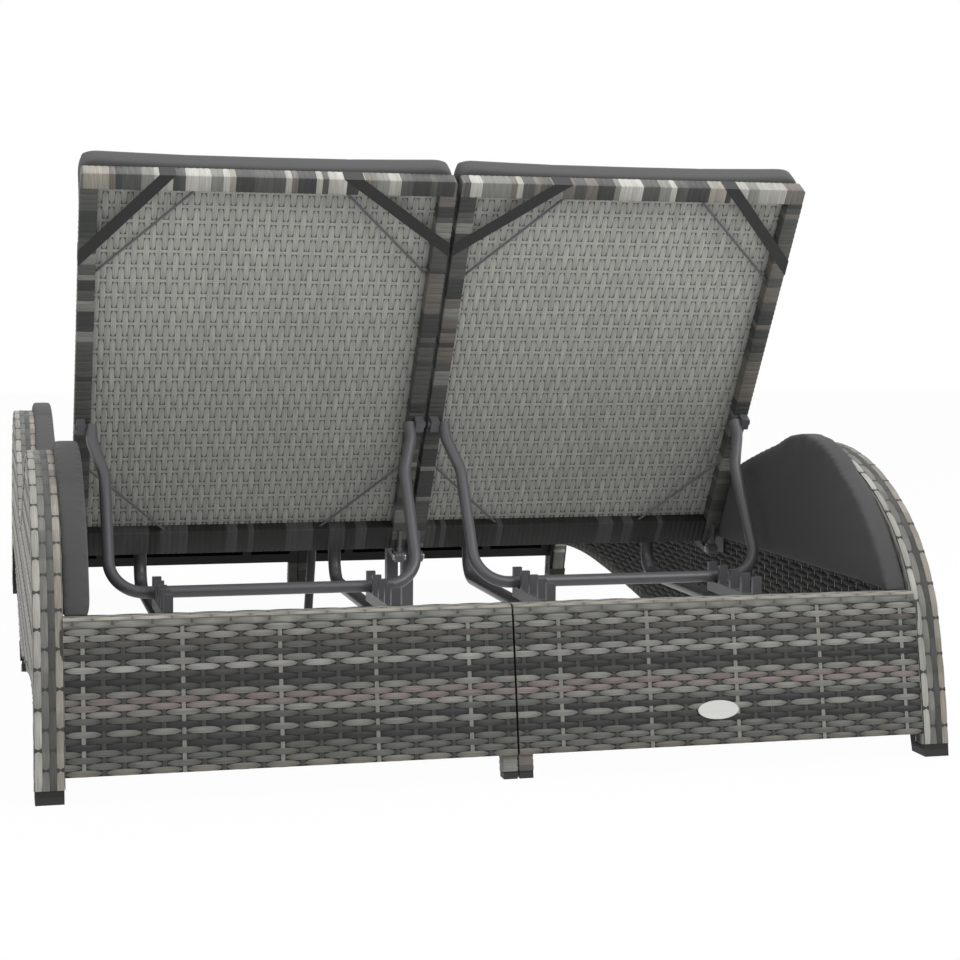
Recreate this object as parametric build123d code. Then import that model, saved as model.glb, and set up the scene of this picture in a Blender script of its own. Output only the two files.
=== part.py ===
from build123d import *
import math
import os

# A double chaise lounger: two loungers side by side in one woven frame.
# Millimetres, +Z up. +X is to the right seen from the head end, +Y runs from the
# head end towards the foot end. The origin is on the floor, under the middle.
# Names that end in _y are distances from the rear feet, until at() places them.

# Overall sizes
length = 2000
width = 1320
half_length = length / 2
half_width = width / 2

# Clearances
touch_gap = 0.3
slide_gap = 0.5
pin_gap = 0.05
overrun = 40

# Side walls
wall = 38
hump_height = 438
arch_height = 98
rim_depth = 14
skin = 3
skin_recess = 1
lower_rail_height = 25
lower_rail_width = 26
end_cap_height = 10
middle_cap_height = 34
middle_foot_length = 110
wall_inner = half_width - wall
wall_tube = 25
wall_rail_drop = 40
wall_post_shares = (0.10, 0.34, 0.62, 0.88)
# Each side edge is a run of arcs: start, a point on the way, end, and so on.
# The first share is of the half length, the second of the hump or arch height.
top_edge_shares = (
    (0, 0), (0.018, 0.256), (0.045, 0.498), (0.090, 0.674), (0.170, 0.836), (0.280, 0.954), (0.400, 1),
    (0.480, 0.982), (0.560, 0.927), (0.700, 0.799), (0.860, 0.662), (0.930, 0.623), (1, 0.612),
)
arch_edge_shares = (
    (0.970, 0), (0.628, 0.61), (0.400, 0.90), (0.247, 1), (0.110, 0.96), (0.076, 0.90), (0.064, 0.67),
)
leg_toe_share = 0.042

# End aprons
apron_top = 238.7
apron_foot = 33.5
front_apron_foot = 56
apron_foot_y = 6
apron_lean = 40
apron_skin = 5
apron_tube = 20
apron_rim_height = 14
apron_rim_depth = 30
apron_rim_round = 4.6
seam_gap = 3
leg_cap_height = 8
join_bolt = 8
join_bolt_gap = 0.3
join_head = 14
join_head_height = 5
join_height_shares = (0.30, 0.72)

# Badge plate
badge_width = 62
badge_height = 27
badge_thickness = 3
badge_x = 300
badge_z = 82

# Backrest frames
tilt = 58.2
bay_gap = 8
wall_space = 42
frame_half_width = wall_inner - wall_space
bay_width = frame_half_width - bay_gap / 2
frame_depth = 25
rail = 25
backrest_length = 726
bottom_rail = 45
panel = 4
frame_corner = 4
top_brace_leg = 150
bottom_brace_leg = 128
brace_rod = 4
brace_depth = 10

# Backrest hinges
deck_rise = 0.3
deck_bottom = apron_top + deck_rise
deck_rear_y = 778
hinge_space = 42
hinge_y = deck_rear_y - hinge_space
hinge_drop = 18.8
fold_gap = 1.8
hinge_below = 4.5
hinge_pin = 8
hinge_eye = 20
ear = 5
ear_reach = 40
lug = 5
lug_neck = 13
lug_rise = 3
hinge_head = 3
hinge_head_width = 12

# Seat deck
deck_front_space = 52
deck_front_y = length - deck_front_space
bracket_width = 40
bracket_sheet = 3
bracket_drop = 34
bracket_hold = 20
bracket_shares = (0.04, 0.5, 0.94)
deck_bolt_shares = (0.08, 0.42, 0.58, 0.92)
support = 20
brace_leg = 18
brace_leg_x = 62
brace_leg_splay = 14

# Prop bars and notched racks
pivot_along = 273
pivot_behind = 10.5
bar = 19
bar_wall = 1.8
bar_y = 435
bar_z = 215.2
bar_bend = 55
neck_bend = 60
leg_inset = 26
leg_step = 18
leg_top = bay_width / 2 - leg_inset
leg_low = leg_top - leg_step
neck_start = 26
neck_end = 88
prop_pin = 10
block_width = 14
block_length = 20
block_depth = 19
pin_rest = 3
rack_inset = 118
rack_offset = bay_width / 2 - rack_inset
rack_width = 14
tooth = 9
tooth_tip = 236
pitch = 48
tooth_count = 5
rack_foot = 18
rack_tube = 22
rack_tube_bend = 40

# Cushions
seat_thickness = 52
back_thickness = 56
crown_drop = 12
draw_in = 6
cushion_corner = 22
back_cushion_wide = 2.5
seat_cushion_rear_space = 24
seat_cushion_rear_y = deck_rear_y + seat_cushion_rear_space
seat_cushion_front_space = 4
seat_cushion_front_y = deck_front_y - seat_cushion_front_space
back_cushion_start = 50
back_cushion_over = 9
side_cushion = 36
side_cushion_bow = 2
side_cushion_shares = (
    (0.062, 0.5455), (0.125, 0.745), (0.230, 0.925), (0.358, 1.040), (0.482, 0.993), (0.700, 0.850),
    (0.890, 0.690), (0.925, 0.645), (0.930, 0.5455),
)

# Corner straps of the back cushions
strap = 18.5
strap_sheet = 1.2
strap_inner_leg = 148
strap_inner_drop = 109
strap_outer_leg = 116
strap_outer_drop = 131


def at(distance):
    """Place of a distance from the rear feet along Y."""
    return distance - half_length


def block(x0, x1, y0, y1, z0, z1):
    """Box between two corners."""
    size = (x1 - x0, y1 - y0, z1 - z0)
    return Pos((x0 + x1) / 2, (y0 + y1) / 2, (z0 + z1) / 2) * Box(*size)


def across(sketch, low, high):
    """Solid of a side view sketch, from one X to another."""
    return extrude(Plane.YZ.offset(low) * sketch, amount=high - low)


def round_bar(start, end, radius):
    """Round bar between two points."""
    run = Vector(*end) - Vector(*start)
    return extrude(Plane(origin=start, z_dir=run) * Circle(radius), amount=run.length)


def mirrored(solids):
    """The same pieces on the other side, left for right."""
    return [mirror(solid, about=Plane.YZ) for solid in solids]


def turned_round(solids):
    """The same pieces at the other end, front for rear."""
    return [mirror(solid, about=Plane.XZ) for solid in solids]


def save(name, solids):
    """Write one node, as one solid or a group of them."""
    shape = solids[0] if len(solids) == 1 else Compound(children=list(solids))
    export_step(shape, "parts/" + name + ".step")


def save_pair(name, solids):
    """Write a node of the right half and its twin of the left half."""
    save(name + "_right", solids)
    save(name + "_left", mirrored(solids))


# Side walls

def edge_points(shares, height):
    """Points of a side edge from its shares."""
    return [(at(along * half_length), up * height) for along, up in shares]


def arc_run(points):
    """Arcs through a start, a point on the way and an end, over and over."""
    return [ThreePointArc(*points[i:i + 3]) for i in range(0, len(points) - 1, 2)]


def other_end(points):
    """The points of an edge mirrored to the front half, in the opposite order."""
    return [(-y, z) for y, z in reversed(points)]


def wall_outline():
    """Side view of a whole side wall: two humps over two arches."""
    top = edge_points(top_edge_shares, hump_height)
    arch = edge_points(arch_edge_shares, arch_height)
    toe = (at(leg_toe_share * half_length), 0)
    front_arch = other_end(arch)
    front_toe = (-toe[0], 0)
    edges = arc_run(top) + arc_run(other_end(top))
    edges += [Line((half_length, 0), front_toe), Line(front_toe, front_arch[0])]
    edges += arc_run(front_arch) + [Line(front_arch[-1], arch[0])] + arc_run(arch)
    edges += [Line(arch[-1], toe), Line(toe, (-half_length, 0))]
    return make_face(edges)


def arch_openings():
    """Side view of the two spaces under the arches."""
    arch = edge_points(arch_edge_shares, arch_height)
    toe = (at(leg_toe_share * half_length), 0)
    rear = make_face(arc_run(arch) + [Line(arch[-1], toe), Line(toe, arch[0])])
    return rear, mirror(rear, about=Plane.YZ)


def cap_zones():
    """Side view of the zones that the foot caps take up."""
    upward = (Align.CENTER, Align.MIN)
    middle = Rectangle(middle_foot_length, middle_cap_height, align=upward)
    ends = Rectangle(length, end_cap_height, align=upward)
    ends -= Rectangle(half_length, end_cap_height, align=upward)
    return ends, middle


def build_side_walls():
    """Rim, skins, lower rail, inner frame and foot caps of both side walls."""
    outline = wall_outline()
    ends, middle = cap_zones()
    standing = outline - ends - middle
    inset = offset(outline, amount=-rim_depth) - ends - middle
    rear_arch, front_arch = arch_openings()
    raised = Pos(0, lower_rail_height) * (rear_arch + front_arch)
    lower = standing & raised
    centre = (wall_inner + half_width) / 2
    save_pair("side_rim", [across(standing - inset - lower, wall_inner, half_width)])
    low = centre - lower_rail_width / 2
    save_pair("lower_rail", [across(lower, low, low + lower_rail_width)])
    field = inset - lower
    outer_face = half_width - skin_recess
    inner_face = wall_inner + skin_recess
    save_pair("outer_side_weave", [across(field, outer_face - skin, outer_face)])
    save_pair("inner_side_weave", [across(field, inner_face, inner_face + skin)])
    save_pair("side_frame", [side_frame(field, centre)])
    caps = list(across(outline & ends, wall_inner, half_width).solids())
    save("end_foot_caps", caps + mirrored(caps))
    feet = [across(outline & middle, low, low + lower_rail_width)]
    save("middle_feet", feet + mirrored(feet))


def side_frame(field, centre):
    """Steel posts and a rail between the two skins of a side wall."""
    low = centre - wall_tube / 2
    rail_top = apron_top - wall_rail_drop
    bars = Pos(0, rail_top - wall_tube / 2) * Rectangle(length, wall_tube)
    for share in wall_post_shares:
        for side in (-1, 1):
            post = Rectangle(wall_tube, hump_height, align=(Align.CENTER, Align.MIN))
            bars += Pos(side * (1 - share) * half_length, 0) * post
    return across(field & bars, low, low + wall_tube)


# End aprons

def lean_at(height):
    """Y distance of the apron's outer face at a height."""
    return apron_foot_y + apron_lean * (height - apron_foot) / (apron_top - apron_foot)


def leaning_strip(low, high, near, far):
    """Side view of a strip along the leaning apron, between two depths and two heights."""
    corners = [(lean_at(low) + near, low), (lean_at(high) + near, high),
               (lean_at(high) + far, high), (lean_at(low) + far, low)]
    return make_face(Polyline([(at(y), z) for y, z in corners], close=True))


def build_aprons():
    """Woven skins, steel frames, rim and badge of the two end aprons."""
    inner = seam_gap / 2
    outer = wall_inner - touch_gap
    weave_top = apron_top - apron_rim_height
    rim_start = lean_at(apron_top) - touch_gap
    rim = block(inner, outer, at(rim_start), at(rim_start + apron_rim_depth), weave_top, apron_top)
    rim = fillet(rim.edges().filter_by(Axis.X).group_by(Axis.Z)[-1], apron_rim_round)
    for end, foot, place in (("rear", apron_foot, list), ("front", front_apron_foot, turned_round)):
        skin = across(leaning_strip(foot, weave_top, 0, apron_skin), inner, outer)
        save_pair(end + "_apron_weave", place([skin]))
        save_pair(end + "_apron_frame", place([apron_frame(inner, outer, foot, weave_top)]))
        save(end + "_apron_rims", place([rim] + mirrored([rim])))
    save("badge_plate", [badge()])


def apron_frame(inner, outer, foot, weave_top):
    """Steel frame of half an apron, with the leg at the middle of the lounger."""
    near = apron_skin
    far = apron_skin + apron_tube
    bottom = across(leaning_strip(foot, foot + apron_tube, near, far), inner, outer)
    top = across(leaning_strip(weave_top - apron_tube, weave_top, near, far), inner, outer)
    stile = leaning_strip(foot, weave_top, near, far)
    leg = leaning_strip(leg_cap_height, weave_top, near, far)
    frame = bottom + top + across(leg, inner, inner + apron_tube)
    frame += across(stile, outer - apron_tube, outer)
    for x in rack_places():
        frame += across(stile, x - apron_tube / 2, x + apron_tube / 2)
    for height in join_heights():
        place = (inner - overrun, at(lean_at(height) + near + apron_tube / 2), height)
        frame -= round_bar(place, (inner + overrun, place[1], height), join_bolt / 2 + join_bolt_gap)
    return frame


def leg_cap(inner):
    """Plastic cap under one of the legs in the middle of an apron."""
    near = apron_skin
    return across(leaning_strip(0, leg_cap_height, near, near + apron_tube), inner, inner + apron_tube)


def badge():
    """Plain oval plate on the rear apron."""
    lean = math.atan2(apron_lean, apron_top - apron_foot)
    out = Vector(0, -math.cos(lean), math.sin(lean))
    origin = Vector(badge_x, at(lean_at(badge_z)), badge_z) + out * touch_gap
    face = Plane(origin=origin, x_dir=(1, 0, 0), z_dir=out)
    return extrude(face * Ellipse(badge_width / 2, badge_height / 2), amount=badge_thickness)


def join_heights():
    """Heights of the bolts that join the two halves of an apron."""
    return [apron_foot + share * (apron_top - apron_foot) for share in join_height_shares]


def build_joining_bolts():
    """Bolts through the middle legs and the deck, which hold the two halves together."""
    reach = seam_gap / 2 + apron_tube
    bolts = []
    for height in join_heights():
        y = at(lean_at(height) + apron_skin + apron_tube / 2)
        shank = round_bar((-reach, y, height), (reach, y, height), join_bolt / 2)
        for side in (-1, 1):
            start = (side * (reach + touch_gap), y, height)
            end = (side * (reach + touch_gap + join_head_height), y, height)
            shank += round_bar((side * reach, y, height), start, join_bolt / 2)
            shank += round_bar(start, end, join_head / 2)
        bolts.append(shank)
    bolts += turned_round(bolts)
    save("joining_bolts", bolts + [deck_bolt(y) for y in deck_bolt_places()])


# Seat deck

def bay_edges():
    """Inner and outer X of the frame of a bay."""
    return bay_gap / 2, frame_half_width


def build_deck():
    """Frame, woven panel, brackets and middle support of each half of the seat deck."""
    inner, outer = bay_edges()
    rear = at(deck_rear_y)
    front = at(deck_front_y)
    top = deck_bottom + frame_depth
    middle = (rear + front) / 2
    frame = block(inner, outer, rear, front, deck_bottom, top)
    for low, high in ((rear, middle), (middle, front)):
        y0 = low + (rail if low == rear else rail / 2)
        y1 = high - (rail if high == front else rail / 2)
        frame -= block(inner + rail, outer - rail, y0, y1, deck_bottom - overrun, top + overrun)
    bolt_z = deck_bottom + frame_depth / 2
    reach = inner + rail + overrun
    for y in deck_bolt_places():
        frame -= round_bar((-overrun, y, bolt_z), (reach, y, bolt_z), join_bolt / 2 + join_bolt_gap)
    save_pair("deck_frame", [frame])
    save_pair("deck_weave", deck_panels(inner, outer, rear, middle, front, top))
    run = deck_front_y - deck_rear_y
    places = [at(deck_rear_y + share * run) for share in bracket_shares]
    save("deck_brackets", [deck_bracket(y) for y in places] + mirrored([deck_bracket(y) for y in places]))
    support_rear = rear + rail + slide_gap
    sides = (inner, inner + support, support_rear, support_rear + support)
    post = block(*sides, leg_cap_height, deck_bottom)
    cap = block(*sides, 0, leg_cap_height)
    save("middle_supports", [post] + mirrored([post]))
    foot = (-brace_leg_x - brace_leg_splay, middle, leg_cap_height)
    slanted = round_bar(foot, (-brace_leg_x, middle, deck_bottom), brace_leg / 2)
    save("brace_leg", [slanted & slab_above(foot)])
    brace_cap = Pos(foot[0], middle, leg_cap_height / 2) * Cylinder(brace_leg / 2, leg_cap_height)
    aprons = [leg_cap(seam_gap / 2)]
    aprons += mirrored(aprons)
    save("leg_caps", aprons + turned_round(aprons) + [cap, brace_cap] + mirrored([cap]))


def slab_above(foot):
    """Space between the top of a leg cap and the deck."""
    reach = length / 2
    return block(-reach, reach, -reach, reach, foot[2], deck_bottom)


def deck_bolt_places():
    """Y of the bolts between the two halves of the deck."""
    return [at(deck_rear_y + share * (deck_front_y - deck_rear_y)) for share in deck_bolt_shares]


def deck_bolt(y):
    """Bolt with a spacer between the inner rails of the two halves of the deck."""
    z = deck_bottom + frame_depth / 2
    inner, outer = bay_edges()
    reach = inner + rail
    bolt = round_bar((-reach - touch_gap, y, z), (reach + touch_gap, y, z), join_bolt / 2)
    bolt += round_bar((touch_gap - inner, y, z), (inner - touch_gap, y, z), join_head / 2)
    for side in (-1, 1):
        start = side * (reach + touch_gap)
        bolt += round_bar((start, y, z), (start + side * join_head_height, y, z), join_head / 2)
    return bolt


def deck_panels(inner, outer, rear, middle, front, top):
    """Woven fields of half the seat deck, between the rails."""
    fields = []
    for y0, y1 in ((rear + rail, middle - rail / 2), (middle + rail / 2, front - rail)):
        fields.append(block(inner + rail, outer - rail, y0, y1, top - panel, top))
    return fields


def deck_bracket(y):
    """Angle that carries the deck frame on a side wall."""
    y0 = y - bracket_width / 2
    y1 = y + bracket_width / 2
    edge = wall_inner - touch_gap
    flat = block(frame_half_width - bracket_hold, edge, y0, y1, apron_top - bracket_sheet, apron_top)
    return flat + block(edge - bracket_sheet, edge, y0, y1, apron_top - bracket_drop, apron_top)


# Backrests. The plane of a backrest lies on its back face, at its lower edge:
# X across, Y up along the backrest, Z out of the back.

def rest_angle():
    """Angle of the upright backrest above level."""
    return math.radians(tilt)


def along_back():
    """Unit vector up along the backrest."""
    return Vector(0, -math.cos(rest_angle()), math.sin(rest_angle()))


def out_of_front():
    """Unit vector out of the front of the backrest."""
    return Vector(0, math.sin(rest_angle()), math.cos(rest_angle()))


def hinge_z():
    """Height of the hinge axis, which lays the backrest level with the deck."""
    return deck_bottom + fold_gap - hinge_drop


def hinge_point():
    """Point of the hinge axis on the plane X = 0."""
    return Vector(0, at(hinge_y), hinge_z())


def back_plane():
    """Plane of the backrest's back face."""
    corner = hinge_point() + out_of_front() * hinge_drop + along_back() * hinge_below
    return Plane(origin=corner, x_dir=(1, 0, 0), z_dir=out_of_front() * -1)


def on_back(solid):
    """Move a solid from the backrest's own plane to its place."""
    return back_plane().location * solid


def build_backrests():
    """Frame, woven panel, braces, hinge ears and prop blocks of both backrests."""
    inner, outer = bay_edges()
    frame = block(inner, outer, 0, backrest_length, -frame_depth, 0)
    upright = frame.edges().filter_by(Axis.Z)
    frame = fillet(upright, frame_corner)
    low = bottom_rail
    high = backrest_length - rail
    frame -= block(inner + rail, outer - rail, low, high, -frame_depth - overrun, overrun)
    save_pair("backrest_frame", [on_back(frame)])
    field = block(inner + rail, outer - rail, low, high, -frame_depth, panel - frame_depth)
    save_pair("backrest_weave", [on_back(field)])
    save_pair("corner_braces", [on_back(rod) for rod in corner_braces(inner + rail, outer - rail, low, high)])
    brackets = [hinge_ear(x) for x in rail_middles()] + [prop_block(side) for side in (-1, 1)]
    save_pair("backrest_brackets", [on_back(bracket) for bracket in brackets])


def rail_middles():
    """X of the middle of the two side rails of the right bay."""
    inner, outer = bay_edges()
    return inner + rail / 2, outer - rail / 2


def corner_braces(left, right, low, high):
    """Thin rods across the four corners of the frame, behind the panel."""
    field = block(left, right, low, high, -frame_depth, 0)
    rods = []
    for x, inward in ((left, 1), (right, -1)):
        for y, leg, down in ((high, top_brace_leg, -1), (low, bottom_brace_leg, 1)):
            start = (x - inward * brace_rod, y + down * (leg + brace_rod), -brace_depth)
            end = (x + inward * (leg + brace_rod), y - down * brace_rod, -brace_depth)
            rods.append(round_bar(start, end, brace_rod / 2) & field)
    return rods


def hinge_ear(x):
    """Plate on the back of a side rail, with the eye for the hinge pin."""
    eye = Pos(-hinge_below, hinge_drop) * Circle(hinge_eye / 2)
    base = make_face(Polyline([(touch_gap, 0), (ear_reach, 0), (ear_reach, ear),
                               (hinge_eye / 2 - hinge_below, hinge_drop),
                               (-hinge_eye / 2 - hinge_below, hinge_drop)], close=True))
    side = eye + base - Pos(-hinge_below, hinge_drop) * Circle(hinge_pin / 2 + pin_gap)
    return extrude(Plane.YZ.offset(x - ear / 2) * side, amount=ear)


def prop_block(side):
    """Block on the back of a side rail that holds a pin of the prop bar."""
    near = leg_top + bar / 2 + slide_gap
    solid = block(near, near + block_width, -block_length / 2, block_length / 2, 0, block_depth)
    mouth = (near - overrun, 0, pivot_behind)
    solid -= round_bar(mouth, (near + overrun, 0, pivot_behind), prop_pin / 2 + pin_gap)
    if side < 0:
        solid = mirror(solid, about=Plane.YZ)
    return Pos(bay_middle(), pivot_along, 0) * solid


def build_hinges():
    """Lugs under the rear tube of the deck and the hinge pins through them."""
    lugs = []
    pins = []
    for x in rail_middles():
        for side in (-1, 1):
            low = x + side * (ear / 2 + slide_gap) - (lug if side < 0 else 0)
            lugs.append(hinge_lug(low))
        reach = ear / 2 + slide_gap + lug
        y = at(hinge_y)
        pin = round_bar((x - reach, y, hinge_z()), (x + reach, y, hinge_z()), hinge_pin / 2)
        for side in (-1, 1):
            start = (x + side * reach, y, hinge_z())
            head = (start[0] + side * touch_gap, y, hinge_z())
            end = (head[0] + side * hinge_head, y, hinge_z())
            pin += round_bar(start, head, hinge_pin / 2) + round_bar(head, end, hinge_head_width / 2)
        pins.append(pin)
    save("hinge_lugs", lugs + mirrored(lugs))
    save("hinge_pins", pins + mirrored(pins))


def hinge_lug(low):
    """Plate from the deck's rear tube down to the hinge axis."""
    y = at(hinge_y)
    z = hinge_z()
    rear = at(deck_rear_y)
    neck_y = y + hinge_eye
    eye = Pos(y, z) * Circle(hinge_eye / 2)
    arm = make_face(Polyline([(y, z - hinge_eye / 2), (y, z + touch_gap), (neck_y, z + lug_rise),
                              (rear, deck_bottom), (rear + rail, deck_bottom),
                              (rear + rail, deck_bottom - lug_neck)], close=True))
    side = eye + arm - Pos(y, z) * Circle(hinge_pin / 2 + pin_gap)
    return extrude(Plane.YZ.offset(low) * side, amount=lug)


# Prop bars and racks

def bay_middle():
    """X of the middle of the right bay."""
    inner, outer = bay_edges()
    return (inner + outer) / 2


def pivot_point():
    """Point of the prop bar's pivot axis on the plane X = 0."""
    return back_plane().from_local_coords(Vector(0, pivot_along, pivot_behind))


def prop_plane():
    """Plane of a prop bar: X across, Y from the pivot to the crossbar."""
    pivot = pivot_point()
    run = Vector(0, at(bar_y), bar_z) - pivot
    normal = Vector(1, 0, 0).cross(run.normalized())
    origin = Vector(bay_middle(), pivot.Y, pivot.Z)
    return Plane(origin=origin, x_dir=(1, 0, 0), z_dir=normal), run.length


def build_props():
    """Bent prop bars, each with two pins that turn in the blocks of a backrest."""
    plane, reach = prop_plane()
    side = [(leg_top, 0), (leg_top, neck_start), (leg_low, neck_end), (leg_low, reach)]
    points = [(-x, y) for x, y in side] + [(x, y) for x, y in reversed(side)]
    bends = [neck_bend, neck_bend, bar_bend, bar_bend, neck_bend, neck_bend]
    path = FilletPolyline(*points, radius=bends)
    mouth = Plane(origin=path @ 0, z_dir=path % 0)
    tube = sweep(mouth * Circle(bar / 2), path=path) - sweep(mouth * Circle(bar / 2 - bar_wall), path=path)
    rest = leg_top + bar / 2 + slide_gap + block_width + pin_rest
    for end in (-1, 1):
        plug = round_bar((end * leg_top, -bar_wall, 0), (end * leg_top, prop_pin, 0), bar / 2)
        tube += plug + round_bar((end * leg_top, 0, 0), (end * rest, 0, 0), prop_pin / 2)
    save_pair("prop_bar", [plane.location * tube])


def rack_places():
    """X of the two racks of the right bay."""
    return bay_middle() - rack_offset, bay_middle() + rack_offset


def notch_floor():
    """Height of the bottom of the notches."""
    return bar_z - bar / 2 - touch_gap


def rack(x):
    """Bar with teeth; the prop bar's crossbar rests between two of them."""
    rear_tooth = at(bar_y) + pitch / 2 - (tooth_count - 1) * pitch
    front_tooth = at(bar_y) + pitch / 2
    low = notch_floor() - rack_foot
    sides = (x - rack_width / 2, x + rack_width / 2)
    solid = block(*sides, rear_tooth - tooth / 2, front_tooth + tooth / 2, low, notch_floor())
    for index in range(tooth_count):
        y = front_tooth - index * pitch
        solid += block(*sides, y - tooth / 2, y + tooth / 2, low, tooth_tip)
    return solid


def rack_rail(x):
    """Tube under a rack, from the rear apron to the rear tube of the deck."""
    z = notch_floor() - rack_foot - rack_tube / 2
    start = at(lean_at(z + rack_tube / 2) + apron_skin + apron_tube) + touch_gap
    turn = at(deck_rear_y) + rail / 2
    path = FilletPolyline((start, z), (turn, z), (turn, deck_bottom), radius=rack_tube_bend)
    path = Plane.YZ.offset(x) * path
    mouth = Plane(origin=path @ 0, z_dir=path % 0)
    return sweep(mouth * Circle(rack_tube / 2), path=path)


def build_racks():
    """Four notched racks and the tubes that carry them."""
    near, far = rack_places()
    save_pair("racks", [rack(near), rack(far)])
    save_pair("rack_rails", [rack_rail(near), rack_rail(far)])


# Cushions

def crowned(size_x, size_y, thickness):
    """Cushion on the plane Z = 0: drawn-in sides, rounded corners and a crown."""
    x = size_x / 2
    y = size_y / 2
    sides = [ThreePointArc((-x, -y), (0, draw_in - y), (x, -y)),
             ThreePointArc((x, -y), (x - draw_in, 0), (x, y)),
             ThreePointArc((x, y), (0, y - draw_in), (-x, y)),
             ThreePointArc((-x, y), (draw_in - x, 0), (-x, -y))]
    plan = make_face(sides)
    plan = fillet(plan.vertices(), cushion_corner)
    solid = extrude(plan, amount=thickness)
    edge = thickness - crown_drop
    for half, plane in ((x, Plane.XZ), (y, Plane.YZ)):
        reach = half + overrun
        bow = [Line((-half, 0), (half, 0)), Line((half, 0), (half, edge)),
               ThreePointArc((half, edge), (0, thickness), (-half, edge)), Line((-half, edge), (-half, 0))]
        solid &= extrude(plane * make_face(bow), amount=max(x, y) + reach, both=True)
    return solid


def build_cushions():
    """Seat, back and side cushions."""
    inner, outer = bay_edges()
    size_x = outer - inner
    seat_run = seat_cushion_front_y - seat_cushion_rear_y
    top = deck_bottom + frame_depth + touch_gap
    seat = crowned(size_x, seat_run, seat_thickness)
    middle = at(seat_cushion_rear_y + seat_run / 2)
    save_pair("seat_cushion", [Pos(bay_middle(), middle, top) * seat])
    back_run = backrest_length + back_cushion_over - back_cushion_start
    place = back_plane().from_local_coords(
        Vector(bay_middle(), back_cushion_start + back_run / 2, -frame_depth - touch_gap))
    face = Plane(origin=place, x_dir=(1, 0, 0), z_dir=out_of_front())
    back = crowned(size_x + 2 * back_cushion_wide, back_run, back_thickness)
    save_pair("back_cushion", [face.location * back])
    rear = side_cushion_solid()
    save_pair("rear_side_cushion", [rear])
    save_pair("front_side_cushion", turned_round([rear]))


def side_cushion_solid():
    """Pad on the inner face of a side wall, along one hump."""
    points = edge_points(side_cushion_shares, hump_height)
    outline = make_face(arc_run(points) + [Line(points[-1], points[0])])
    outline &= Pos(0, apron_top + touch_gap) * Rectangle(length, hump_height, align=(Align.CENTER, Align.MIN))
    outer = wall_inner - touch_gap
    solid = across(outline, outer - side_cushion, outer)
    start = points[0][0] - touch_gap
    end = points[-1][0] + touch_gap
    inner = outer - side_cushion
    edge = inner + side_cushion_bow
    bow = [Line((outer, start), (outer, end)), Line((outer, end), (edge, end)),
           ThreePointArc((edge, end), (inner, (start + end) / 2), (edge, start)),
           Line((edge, start), (outer, start))]
    return solid & extrude(make_face(bow), amount=hump_height + overrun)


def build_straps():
    """Two straps over the upper back corners of each backrest, which hold its cushion."""
    inner, outer = bay_edges()
    top = backrest_length
    lip = touch_gap + strap_sheet
    straps = []
    for edge, inward, leg, drop in ((inner, 1, strap_inner_leg, strap_inner_drop),
                                    (outer, -1, strap_outer_leg, strap_outer_drop)):
        slant = math.hypot(leg, drop)
        near, far = edge + inward * leg, edge + inward * (leg + strap * slant / drop)
        high, low = top - drop, top - drop - strap * slant / leg
        out = edge - inward * lip
        band = make_face(Polyline([(out, high), (out, low), (far, top + lip), (near, top + lip)], close=True))
        solid = Pos(0, 0, touch_gap) * extrude(band, amount=strap_sheet)
        over = sorted((near, far))
        beside = sorted((out, out + inward * strap_sheet))
        solid += block(*over, top + touch_gap, top + lip, -frame_depth, lip)
        solid += block(*beside, low, high, -frame_depth, lip)
        straps.append(solid)
    save_pair("cushion_straps", [on_back(piece) for piece in straps])


def main():
    os.makedirs("parts", exist_ok=True)
    build_side_walls()
    build_aprons()
    build_joining_bolts()
    build_deck()
    build_backrests()
    build_hinges()
    build_props()
    build_racks()
    build_cushions()
    build_straps()


main()
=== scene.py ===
"""Double chaise lounger: woven rattan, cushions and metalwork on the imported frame."""

import cmath
import logging
import math
import random
from bisect import bisect_right
from dataclasses import dataclass
from enum import Enum
from typing import Callable, Sequence

import bmesh
import bpy
from mathutils import Matrix, Vector
from mathutils.bvhtree import BVHTree


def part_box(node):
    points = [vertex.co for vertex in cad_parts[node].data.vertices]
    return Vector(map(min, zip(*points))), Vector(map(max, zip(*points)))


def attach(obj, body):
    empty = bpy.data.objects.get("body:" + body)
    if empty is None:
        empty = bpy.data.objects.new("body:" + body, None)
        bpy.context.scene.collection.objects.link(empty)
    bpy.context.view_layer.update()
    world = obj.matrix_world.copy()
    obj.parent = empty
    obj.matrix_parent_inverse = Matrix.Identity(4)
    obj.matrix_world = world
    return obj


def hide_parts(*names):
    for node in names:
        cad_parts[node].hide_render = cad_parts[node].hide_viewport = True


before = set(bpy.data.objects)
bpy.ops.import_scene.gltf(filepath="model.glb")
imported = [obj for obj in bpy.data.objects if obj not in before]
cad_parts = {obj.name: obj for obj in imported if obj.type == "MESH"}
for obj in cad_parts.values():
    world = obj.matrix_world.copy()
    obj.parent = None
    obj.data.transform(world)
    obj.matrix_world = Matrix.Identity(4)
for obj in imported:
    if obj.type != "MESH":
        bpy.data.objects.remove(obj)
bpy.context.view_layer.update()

LOG = logging.getLogger("lounger")
X_AXIS = Vector((1, 0, 0))
Y_AXIS = Vector((0, 1, 0))
Z_AXIS = Vector((0, 0, 1))
HALF_LENGTH = 1.0

Tone = tuple[float, float, float]
Place = tuple[float, float, float]
Flat = tuple[float, float]
Profile = Callable[[float, float], float]
Share = Callable[[float], float]
Spot = tuple[Vector, Vector, Vector]


def linear(code: str) -> Tone:
    """Turn an sRGB hex colour into linear values.

    Args:
        code: Six hex digits, with or without a leading mark.

    Returns:
        Red, green and blue as linear values.
    """
    digits = code.lstrip("#")
    parts = [int(digits[i : i + 2], 16) / 255 for i in (0, 2, 4)]
    return tuple(p / 12.92 if p <= 0.04045 else ((p + 0.055) / 1.055) ** 2.4 for p in parts)


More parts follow.
